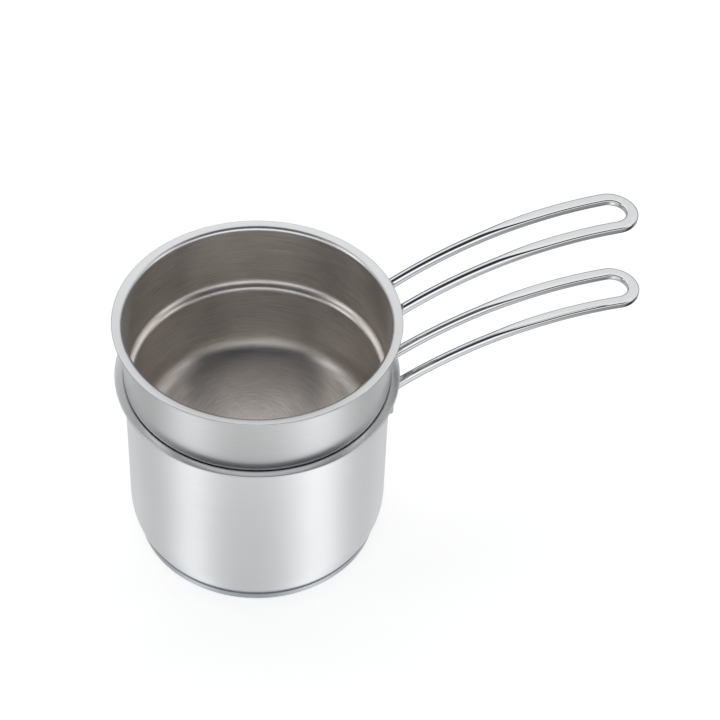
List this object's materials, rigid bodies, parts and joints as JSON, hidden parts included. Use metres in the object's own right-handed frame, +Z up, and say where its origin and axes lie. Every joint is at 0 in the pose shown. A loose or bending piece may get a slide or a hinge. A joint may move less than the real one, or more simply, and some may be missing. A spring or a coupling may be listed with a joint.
{
  "type": "double boiler",
  "caption": "Stainless steel double boiler: a saucepan with a capsule base and an insert that seats in its mouth, each with a long looped wire handle.",
  "frame": {"origin": "centre of the base's underside, on the axis of both pots", "axes": "+Z up along the axis of both pots, +X along the lower handle, away from the pots"},
  "size_m": [0.289, 0.15, 0.173],
  "materials": {
    "pot_steel": "polished outside, fine circular brushing inside",
    "insert_steel": "polished outside, fine circular brushing inside",
    "base_steel": "satin",
    "base_core": "as pressed",
    "handle_steel": "mirror polished",
    "weld_steel": "as welded, lightly ground"
  },
  "bodies": {
    "lower_pot": {"lower_pot_body": "pot_steel", "lower_base_core": "base_core", "lower_base_capsule": "base_steel", "lower_handle": "handle_steel", "lower_handle_welds": "weld_steel"},
    "insert": {"upper_pot_body": "insert_steel", "upper_handle": "handle_steel", "upper_handle_welds": "weld_steel"}
  },
  "joints": [
    {"name": "insert_lift", "type": "slide", "parent": "lower_pot", "child": "insert", "axis": [0, 0, 1], "range_m": [0, 0.12]}
  ]
}
